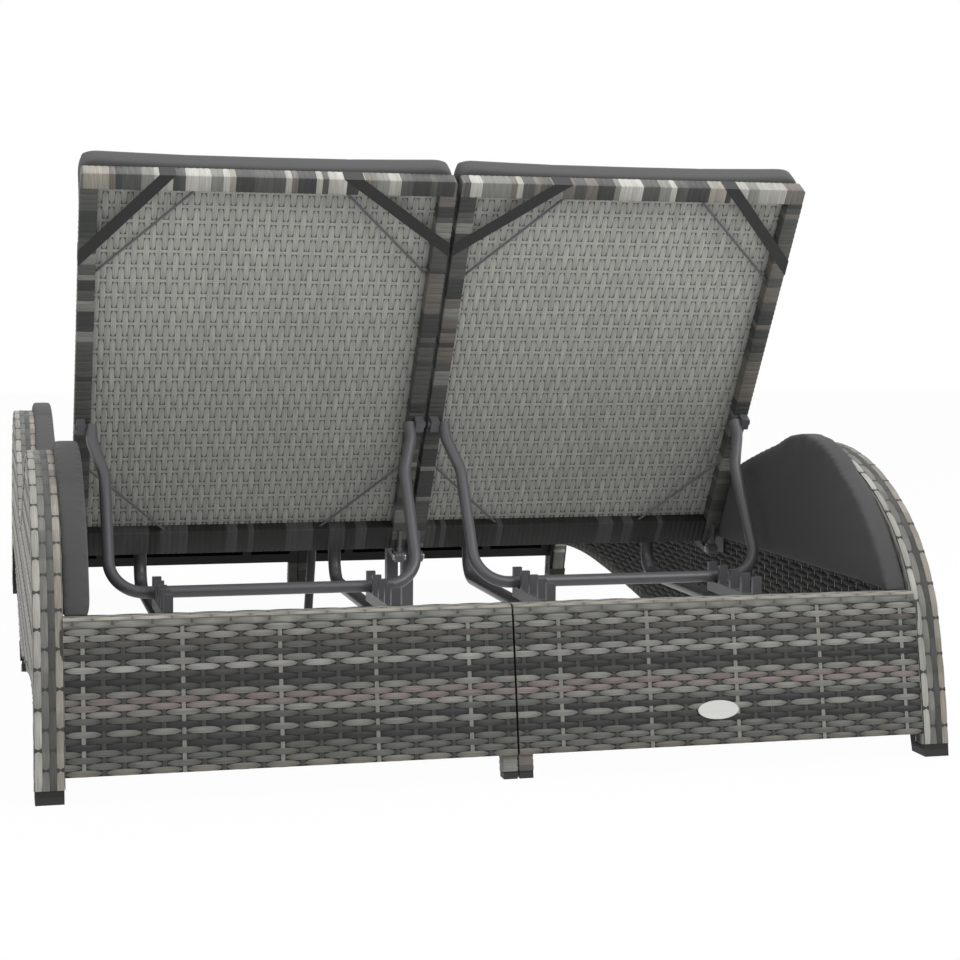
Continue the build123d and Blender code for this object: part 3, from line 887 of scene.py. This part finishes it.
@dataclass
class Aprons(Assembly):
    """Woven panels of the two ends, their wrapped rims and middle legs."""

    inner: float = 0.0015
    outer: float = 0.6217
    foot: float = 0.0335
    front_foot: float = 0.056
    top: float = 0.2247
    rim_top: float = 0.2387
    foot_y: float = 0.006
    lean: float = 0.040
    rim_depth: float = 0.030
    rim_round: float = 0.0046
    weave: Weave = Weave(rise=0.0021, crown=0.0013, waist=0.34, steps=5, stake_rise=0.0010, stake_crown=0.0006)
    weave_drift: float = 0.12
    stake_drift: float = 0.08
    # A row below the lower edge is left out unless this share of it shows.
    least_row: float = 0.4
    rim_weave: Weave = Weave(rise=0.0017, crown=0.0010, waist=0.22)
    # Flat on top, because the lowered backrests lie 2 mm above it.
    top_weave: Weave = Weave(rise=0.0005, crown=0.0003, waist=0.22)
    rim_drift: float = 0.14
    # Two flat strands on top of the rim, a narrow one on each corner and one on the face.
    flat_strand: float = 0.0104
    corner_strand: float = 0.0050
    corner_angle: float = 0.8
    inner_corner: float = 0.0240
    face_strand: float = 0.0092
    proud: float = 0.0003
    tie_rise: float = 0.0003
    leg_half: float = 0.010
    leg_inset: float = 0.005
    leg_foot: float = 0.0085
    leg_turn: float = 0.0090
    gain: float = 0.55
    # Rows of colour from the top down.
    rows: tuple[Shade, ...] = shades(
        "light light brown mid dark light pale dark charcoal dark light pink pink light mid charcoal light dark "
        "charcoal mid mid mid sand"
    )

    def up(self, end: int) -> Vector:
        """Unit vector up along an apron: -1 for the rear one, 1 for the front one."""
        return Vector((0, -self.lean * end, self.rim_top - self.foot)).normalized()

    def lowest(self, end: int) -> float:
        """Height of the lower edge of an apron: -1 at the rear, 1 at the front."""
        return self.foot if end < 0 else self.front_foot

    def panel(self, side: Side, end: int) -> None:
        """Weave one panel.

        Args:
            side: Left or right half.
            end: -1 at the rear, 1 at the front.
        """
        name = side.named("rear_apron_strands" if end < 0 else "front_apron_strands")
        made = StrandMesh(name, seed=50 + 2 * side.value + end, gain=self.gain)
        weave = self.weave
        up = self.up(end)
        out = up.cross(X_AXIS) * end
        along = X_AXIS * side.value
        corner = Vector((0, (HALF_LENGTH - self.foot_y) * end, self.foot))
        length = (self.top - self.foot) / up.z
        low = (self.lowest(end) - self.foot) / up.z
        for row, shade in enumerate(self.rows):
            height = length * (1 - (row + 0.5) / len(self.rows))
            if height >= low + weave.strand * self.least_row:
                course = Straight(corner + up * height, along, out)
                made.weave(course, (self.inner, self.outer), weave, row + 0.5, shade, self.weave_drift)
        for index in range(int((self.outer - self.inner) / weave.stake_pitch) + 1):
            course = Straight(corner + along * (weave.stake_pitch * (index + 0.5)), up, out)
            # One stake in five is light.
            tone = (Shade.LIGHT if index % 5 == 2 else Shade.DARK).tone()
            places = [low, (low + length) / 2, length]
            made.lay(course, places, 0.0, weave.stake, weave.band(), tone, lanes=2, drift=self.stake_drift)
        made.finish("root", self.materials["strands"], "woven_rattan")

    def rim(self, side: Side, end: int) -> None:
        """Wrap the rim of one panel.

        Args:
            side: Left or right half.
            end: -1 at the rear, 1 at the front.
        """
        name = side.named("rear_rim_turns" if end < 0 else "front_rim_turns")
        made = StrandMesh(name, seed=70 + 2 * side.value + end)
        outer_y = HALF_LENGTH - self.foot_y - self.lean + self.proud
        top_y = outer_y - self.rim_round
        bend = self.rim_round * math.sqrt(0.5)
        corner_z = self.rim_top - self.rim_round + bend
        face_z = (self.top + self.rim_top - self.rim_round) / 2
        along = X_AXIS * side.value
        for row, (y, z, angle, shade, width, weave) in enumerate((
            (top_y - self.inner_corner, corner_z, -self.corner_angle, Shade.DARK, self.corner_strand, self.top_weave),
            (top_y - self.flat_strand * 1.5, self.rim_top, 0.0, Shade.MID, self.flat_strand, self.top_weave),
            (top_y - self.flat_strand * 0.5, self.rim_top, 0.0, Shade.SAND, self.flat_strand, self.top_weave),
            (top_y + bend, corner_z, self.corner_angle, Shade.SAND, self.corner_strand, self.top_weave),
            (outer_y, face_z, math.pi / 2, Shade.MID, self.face_strand, self.rim_weave),
        )):  # fmt: skip
            course = Straight(Vector((0, y * end, z)), along, Vector((0, math.sin(angle) * end, math.cos(angle))))
            made.weave(course, (self.inner, self.outer), weave, row, shade, self.rim_drift, width=width)
        pitch = self.rim_weave.stake_pitch
        middle = Vector((0, (outer_y - self.rim_depth / 2) * end, (self.top + self.rim_top) / 2))
        bar = Bar(middle, along, Y_AXIS, self.rim_depth / 2, (self.rim_top - self.top) / 2, self.rim_round)
        for index in range(1, int((self.outer - self.inner) / pitch) + 1):
            bar.turn(made, index * pitch, self.weave.stake, Shade.DARK.tone(), self.tie_rise)
        self.leg(made, side, end)
        made.finish("root", self.materials["strands"], "wrapped_rattan")

    def leg(self, made: StrandMesh, side: Side, end: int) -> None:
        """Wrap the middle leg of one panel.

        Args:
            made: The mesh that it goes in.
            side: Left or right half.
            end: -1 at the rear, 1 at the front.
        """
        up = self.up(end)
        low = self.leg_foot
        lean = self.lean * (self.foot - low) / (self.rim_top - self.foot)
        y = HALF_LENGTH - self.foot_y + lean - self.leg_inset - self.leg_half
        foot = Vector(((self.inner + self.leg_half) * side.value, y * end, low))
        bar = Bar(foot, up, X_AXIS, self.leg_half, self.leg_half)
        bar.wrap(made, (self.lowest(end) - low) / up.z, (Shade.BROWN, Shade.MID, Shade.DARK), self.leg_turn)

    def build(self) -> None:
        """Make all four panels."""
        for side in Side:
            for end in (-1, 1):
                self.panel(side, end)
                self.rim(side, end)


# Backrests


@dataclass
class Backrests(Assembly):
    """Wrapped frames and woven panels of the two tilting backrests."""

    tilt: float = math.radians(58.2)
    hinge: Flat = (-0.264, 0.222)
    hinge_drop: float = 0.0188
    hinge_below: float = 0.0045
    inner: float = 0.004
    outer: float = 0.580
    rail: float = 0.025
    depth: float = 0.025
    length: float = 0.726
    bottom_rail: float = 0.045
    weave_depth: float = 0.004
    weave: Weave = Weave(
        strand=0.0091, pitch=0.0093, rise=0.0013, crown=0.0006, waist=0.12, stake_rise=0.0006, stake_crown=0.0004
    )
    weave_drift: float = 0.05
    top_gap: float = 0.004
    side_shades: tuple[Shade, ...] = shades("dark charcoal mid dark brown charcoal dark")
    top_shades: tuple[Shade, ...] = shades("dark charcoal mid light dark brown sand pale")
    bottom_shades: tuple[Shade, ...] = shades("black black charcoal")
    # Straps: width, and reach along the top and down the side, at the inner and the outer corner.
    strap: float = 0.0185
    strap_legs: Flat = (0.148, 0.116)
    strap_drops: Flat = (0.109, 0.131)
    strap_lift: float = 0.0009
    strap_thickness: float = 0.0008
    strap_lanes: int = 4
    strap_facing: float = 0.9

    @property
    def up(self) -> Vector:
        """Unit vector up along a backrest."""
        return Vector((0, -math.cos(self.tilt), math.sin(self.tilt)))

    @property
    def front(self) -> Vector:
        """Unit vector out of the front of a backrest."""
        return Vector((0, math.sin(self.tilt), math.cos(self.tilt)))

    def at(self, x: float, along: float, depth: float) -> Vector:
        """Find a point of a backrest.

        Args:
            x: Place across.
            along: Distance from the lower edge.
            depth: Distance in front of the back face.

        Returns:
            The point at rest.
        """
        hinge = Vector((0, *self.hinge))
        corner = hinge + self.front * self.hinge_drop + self.up * self.hinge_below
        return corner + X_AXIS * x + self.up * along + self.front * depth

    def panel(self, side: Side) -> None:
        """Weave the panel: its strands run up it, its stakes across.

        Args:
            side: Left or right.
        """
        made = StrandMesh(side.named("backrest_strands"), seed=90 + side.value)
        weave = self.weave
        out = -self.front
        low, high = self.bottom_rail, self.length - self.rail
        left, right = self.inner + self.rail, self.outer - self.rail
        count = round((right - left) / weave.pitch)
        pitch = (right - left) / count
        face = self.depth - self.weave_depth
        for row in range(count):
            start = self.at((left + (row + 0.5) * pitch) * side.value, 0, face)
            made.weave(Straight(start, self.up, out), (low, high), weave, row, Shade.BACK, self.weave_drift)
        run = right - left
        for index in range(int(high / weave.stake_pitch) + 1):
            along = index * weave.stake_pitch
            if low < along < high:
                course = Straight(self.at(left * side.value, along, face), X_AXIS * side.value, out)
                made.lay(course, [0, run / 2, run], 0.0, weave.stake, weave.band(), Shade.BACK.tone(), lanes=2)
        made.finish(side.named("backrest"), self.materials["strands"], "woven_rattan")

    def rails(self, side: Side) -> None:
        """Wrap the four rails.

        Args:
            side: Left or right.
        """
        made = StrandMesh(side.named("backrest_turns"), seed=110 + side.value)
        across = X_AXIS * side.value
        half, middle, low = self.rail / 2, self.depth / 2, self.bottom_rail / 2
        for x in (self.inner + half, self.outer - half):
            bar = Bar(self.at(x * side.value, 0, middle), self.up, X_AXIS, half, middle)
            bar.wrap(made, self.length - self.rail, self.side_shades)
        for edge, height, half_height, colours in (
            (self.inner + self.top_gap, self.length - half, half, self.top_shades),
            (self.inner + self.rail, low, low, self.bottom_shades),
        ):
            bar = Bar(self.at(edge * side.value, height, middle), across, self.front, middle, half_height)
            bar.wrap(made, self.outer + self.inner - 2 * edge, colours)
        made.finish(side.named("backrest"), self.materials["strands"], "wrapped_rattan")

    def straps(self, side: Side) -> None:
        """Lay webbing over the upper corners, from the cushion's top edge to its side edge.

        Args:
            side: Left or right.
        """
        lift, lanes = self.strap_lift, self.strap_lanes
        top = self.length + lift
        mesh = bmesh.new()
        edges = ((self.inner, 1), (self.outer, -1))
        for (edge, inward), leg, drop in zip(edges, self.strap_legs, self.strap_drops):
            slant = math.hypot(leg, drop)
            near, far = edge + inward * leg, edge + inward * (leg + self.strap * slant / drop)
            high, low = self.length - drop, self.length - drop - self.strap * slant / leg
            reach = edge - inward * lift
            rows = []
            for x0, x1, s0, s1, depth in (
                (near, far, top, top, self.depth),
                (near, far, top, top, -lift),
                (reach, reach, high, low, -lift),
                (reach, reach, high, low, self.depth),
            ):
                start, end = self.at(x0 * side.value, s0, depth), self.at(x1 * side.value, s1, depth)
                rows.append([mesh.verts.new(start.lerp(end, i / lanes)) for i in range(lanes + 1)])
            for a, b in zip(rows, rows[1:]):
                for i in range(lanes):
                    mesh.faces.new((a[i], a[i + 1], b[i + 1], b[i]))
        bmesh.ops.subdivide_edges(mesh, edges=mesh.edges[:], cuts=2, use_grid_fill=True)
        bmesh.ops.recalc_face_normals(mesh, faces=mesh.faces[:])
        # The webbing faces backwards behind the backrest and upwards on its top edge.
        for face in mesh.faces:
            height = (face.calc_center_median() - self.at(0, 0, self.depth / 2)).dot(self.up)
            on_top = height > self.length - lift
            if face.normal.dot(self.front) > self.strap_facing or on_top and face.normal.dot(self.up) < 0:
                face.normal_flip()
        body = side.named("backrest")
        piece = place_object(close(side.named("corner_webbing"), mesh), body, self.materials["webbing"])
        thick = piece.modifiers.new("thickness", "SOLIDIFY")
        thick.thickness = self.strap_thickness
        thick.offset = 0.0
        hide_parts(side.named("cushion_straps"))

    def build(self) -> None:
        """Make both backrests."""
        for side in Side:
            self.panel(side)
            self.rails(side)
            self.straps(side)


# Cushions


@dataclass
class Cushion:
    """A padded cushion: how far it is filled, and how its cover is blown up over the CAD solid."""

    node: str
    body: str
    out: Vector
    fill: float
    voxel: float
    cap: float
    grow: float
    weld: float = 1e-5
    smoothing: float = 0.5

    def start(self, material: bpy.types.Material) -> bpy.types.Object:
        """Copy the CAD solid, a little larger, and remesh it.

        Args:
            material: The cover's material.

        Returns:
            The cushion before it is blown up.
        """
        mesh = bmesh.new()
        mesh.from_mesh(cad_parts[self.node].data)
        bmesh.ops.remove_doubles(mesh, verts=mesh.verts[:], dist=self.weld)
        piece = place_object(close(self.node + "_cover", mesh), self.body, material)
        remesh = piece.modifiers.new("remesh", "REMESH")
        remesh.mode = "VOXEL"
        remesh.voxel_size = self.voxel
        self.apply(piece)
        mesh = bmesh.new()
        mesh.from_mesh(piece.data)
        mesh.normal_update()
        for vert, normal in [(v, v.normal.copy()) for v in mesh.verts]:
            vert.co += normal * self.grow
        axes = {"use_axis_x": True, "use_axis_y": True, "use_axis_z": True}
        bmesh.ops.smooth_vert(mesh, verts=mesh.verts[:], factor=self.smoothing, **axes)
        mesh.to_mesh(piece.data)
        mesh.free()
        self.bed(piece)
        return piece

    def bed(self, piece: bpy.types.Object) -> None:
        """Lay the cushion flat on what carries it, as far down as its CAD solid reaches.

        Args:
            piece: The cushion.
        """
        low = min(v.co.dot(self.out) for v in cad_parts[self.node].data.vertices)
        for vert in piece.data.vertices:
            vert.co += self.out * max(0.0, low - vert.co.dot(self.out))

    def apply(self, piece: bpy.types.Object) -> None:
        """Apply every modifier to the mesh.

        Args:
            piece: The cushion.
        """
        graph = bpy.context.evaluated_depsgraph_get()
        old, done = piece.data, bpy.data.meshes.new_from_object(piece.evaluated_get(graph))
        done.name = old.name
        piece.modifiers.clear()
        piece.data = done
        bpy.data.meshes.remove(old)

    def settle(self, piece: bpy.types.Object, rest: list[Vector]) -> None:
        """Apply the simulation, and keep its shape within the cap and off what carries it.

        Args:
            piece: The cushion.
            rest: Where its points were before.
        """
        self.apply(piece)
        for vert, before in zip(piece.data.vertices, rest):
            move = vert.co - before
            if move.length > self.cap:
                vert.co = before + move.normalized() * self.cap
        self.bed(piece)


@dataclass
class Upholstery(Assembly):
    """All cushions of the lounger."""

    frames: int = 20
    pressure: float = 4.0
    quality: int = 5
    stretch: float = 20.0
    shear: float = 10.0
    bending: float = 2.0

    def cushions(self) -> list[Cushion]:
        """List the cushions of both halves.

        Returns:
            The cushions, in the order in which they are made.
        """
        front = Backrests(self.materials).front
        made: list[Cushion] = []
        for side in Side:
            seat, back, inward = side.named("seat_cushion"), side.named("back_cushion"), X_AXIS * -side.value
            made.append(Cushion(seat, "root", Z_AXIS, fill=0.7, voxel=0.009, cap=0.005, grow=0.002))
            made.append(Cushion(back, side.named("backrest"), front, fill=0.7, voxel=0.008, cap=0.004, grow=0.003))
            for end in ("rear", "front"):
                node = side.named(end + "_side_cushion")
                made.append(Cushion(node, "root", inward, fill=0.6, voxel=0.006, cap=0.003, grow=0.001))
        return made

    def inflate(self, piece: bpy.types.Object) -> None:
        """Add the cloth simulation that blows a cover up.

        Args:
            piece: The cushion.
        """
        cloth = piece.modifiers.new("cloth", "CLOTH")
        settings = cloth.settings
        settings.use_pressure = True
        settings.uniform_pressure_force = self.pressure
        settings.quality = self.quality
        settings.tension_stiffness = settings.compression_stiffness = self.stretch
        settings.shear_stiffness = self.shear
        settings.bending_stiffness = self.bending
        settings.effector_weights.gravity = 0.0
        cloth.point_cache.frame_start = 1
        cloth.point_cache.frame_end = self.frames

    def build(self) -> None:
        """Make, inflate and finish every cushion."""
        made = [(cushion, cushion.start(self.materials["cloth"])) for cushion in self.cushions()]
        rest = [[v.co.copy() for v in piece.data.vertices] for _, piece in made]
        for _, piece in made:
            self.inflate(piece)
        for number in range(1, self.frames + 1):
            bpy.context.scene.frame_set(number)
        for (cushion, piece), before in zip(made, rest):
            cushion.settle(piece, before)
        bpy.context.scene.frame_set(1)
        for cushion, piece in made:
            piece.data.shade_smooth()
            fine = piece.modifiers.new("fine", "SUBSURF")
            fine.levels = fine.render_levels = 1
            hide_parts(cushion.node)


# Metalwork and everything that keeps its CAD shape


@dataclass
class Hardware(Assembly):
    """Finishes of the CAD nodes that stay as they are."""

    # The first two rows get painted shade: the weaves under the strands and the aprons' frames. Behind the backrests'
    # panels the painted shade is lighter.
    nodes: tuple[tuple[str, tuple[str, ...]], ...] = (
        ("core", ("side_rim", "outer_side_weave", "inner_side_weave", "deck_weave")),
        ("core", ("rear_apron_weave", "rear_apron_frame", "front_apron_weave", "front_apron_frame")),
        ("wrapped", ("lower_rail", "rear_apron_rims", "front_apron_rims", "backrest_frame")),
        ("panel_core", ("backrest_weave",)),
        ("powder", ("side_frame", "middle_supports", "brace_leg", "deck_frame", "deck_brackets", "hinge_lugs")),
        ("powder", ("racks", "rack_rails", "corner_braces", "backrest_brackets", "prop_bar")),
        ("moulded", ("end_foot_caps", "middle_feet", "leg_caps")),
        ("zinc", ("joining_bolts", "hinge_pins")),
        ("brushed", ("badge_plate",)),
    )

    def build(self) -> None:
        """Give every CAD node that still shows its finish, on both halves where there are two."""
        for finish, bases in self.nodes:
            for name in [base + end for base in bases for end in ("", "_left", "_right")]:
                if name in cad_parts:
                    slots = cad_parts[name].data.materials
                    slots.clear()
                    slots.append(self.materials[finish])


# Studio


@dataclass
class Studio:
    """White floor, soft lamps and the camera of the photograph."""

    eye: Place = (-0.721, -3.5642, 0.6499)
    focal_pixels: float = 1928.7
    yaw: float = math.radians(14.437)
    pitch: float = math.radians(3.166)
    roll: float = 0.0069
    shift: float = -0.0625
    sensor: float = 36.0
    picture: int = 960
    far: float = 50.0
    floor_size: float = 12.0
    floor_white: float = 0.80
    floor_roughness: float = 0.9
    # Share of white that the floor shows whatever falls on it. The rest keeps its shadow.
    floor_glow: float = 0.97
    surround: float = 0.46
    aim: Place = (0.0, 0.0, 0.3)
    # Each lamp's name, place, edge and watts.
    lamps: tuple[tuple[str, Place, float, float], ...] = (
        ("key", (2.2, -3.6, 3.2), 2.2, 80),
        ("fill", (-3.2, -2.6, 2.6), 2.4, 12),
        ("top", (0.2, 0.4, 4.2), 2.6, 95),
    )

    def camera(self) -> None:
        """Place the camera."""
        data = bpy.data.cameras.new("camera")
        data.sensor_width = self.sensor
        data.lens = self.sensor * self.focal_pixels / self.picture
        data.clip_end = self.far
        data.shift_y = self.shift
        level = math.cos(self.pitch)
        ahead = Vector((math.sin(self.yaw) * level, math.cos(self.yaw) * level, -math.sin(self.pitch)))
        right = ahead.cross(Z_AXIS).normalized()
        up = right.cross(ahead)
        turned = right * math.cos(self.roll) + up * math.sin(self.roll)
        above = up * math.cos(self.roll) - right * math.sin(self.roll)
        camera = link("camera", data)
        camera.matrix_world = Matrix.Translation(self.eye) @ Matrix((turned, above, -ahead)).transposed().to_4x4()
        bpy.context.scene.camera = camera

    def lamp(self, name: str, place: Place, size: float, watts: float) -> None:
        """Add a soft lamp that faces the lounger.

        Args:
            name: Its name.
            place: Where it stands.
            size: Edge of its square.
            watts: Its power.
        """
        data = bpy.data.lights.new(name, "AREA")
        data.size = size
        data.energy = watts
        lamp = link(name, data)
        lamp.location = place
        lamp.rotation_mode = "QUATERNION"
        lamp.rotation_quaternion = (Vector(self.aim) - Vector(place)).to_track_quat("-Z", "Y")

    @staticmethod
    def seen(tree: bpy.types.NodeTree) -> bpy.types.NodeSocket:
        """Tell rays that show a surface from rays that only carry its light.

        Args:
            tree: Nodes of the material or world.

        Returns:
            One for rays that show it, straight or in a mirror or glass, and zero for the others.
        """
        path = add(tree, "LightPath").outputs
        seen = path["Is Camera Ray"]
        for kind in ("Is Glossy Ray", "Is Transmission Ray"):
            seen = add(tree, "Math", {"operation": "MAXIMUM"}, {0: seen, 1: path[kind]}).outputs[0]
        return seen

    def floor(self) -> None:
        """Lay a white floor that keeps a soft shadow."""
        mesh = bmesh.new()
        bmesh.ops.create_grid(mesh, x_segments=2, y_segments=2, size=self.floor_size)
        floor = link("floor", close("floor", mesh))
        material, tree, shader = blank("white_floor")
        shader.inputs["Base Color"].default_value = (*[self.floor_white] * 3, 1)
        shader.inputs["Roughness"].default_value = self.floor_roughness
        share = add(tree, "Math", {"operation": "MULTIPLY", 1: self.floor_glow}, {0: self.seen(tree)})
        glow = add(tree, "Emission", {"Color": (1, 1, 1, 1), "Strength": 1.0})
        mix = add(tree, "MixShader", None, {0: share.outputs[0], 1: shader.outputs[0], 2: glow.outputs[0]})
        tree.links.new(mix.outputs[0], tree.nodes["Material Output"].inputs["Surface"])
        floor.data.materials.append(material)

    def world(self) -> None:
        """Light the scene from all round, and show white behind it."""
        world = bpy.data.worlds.new("studio")
        bpy.context.scene.world = world
        world.use_nodes = True
        tree = world.node_tree
        tree.nodes.clear()
        strength = add(tree, "MapRange", {"To Min": self.surround, "To Max": 1.0}, {0: self.seen(tree)})
        light = add(tree, "Background", {"Color": (1, 1, 1, 1)}, {"Strength": strength.outputs[0]})
        out = add(tree, "OutputWorld")
        tree.links.new(light.outputs[0], out.inputs["Surface"])

    def build(self) -> None:
        """Set up the whole studio."""
        bpy.context.scene.view_settings.view_transform = "Standard"
        self.world()
        self.floor()
        for lamp in self.lamps:
            self.lamp(*lamp)
        self.camera()


def main() -> None:
    """Build the lounger's looks, piece by piece."""
    logging.basicConfig(level=logging.INFO, format="%(name)s: %(message)s")
    materials = Palette().make()
    for assembly in (Hardware, SideWalls, Aprons, Backrests, Upholstery):
        assembly(materials).build()
        LOG.info("%s done", assembly.__name__)
    Studio().build()
    bpy.context.view_layer.update()


if __name__ == "__main__":
    main()
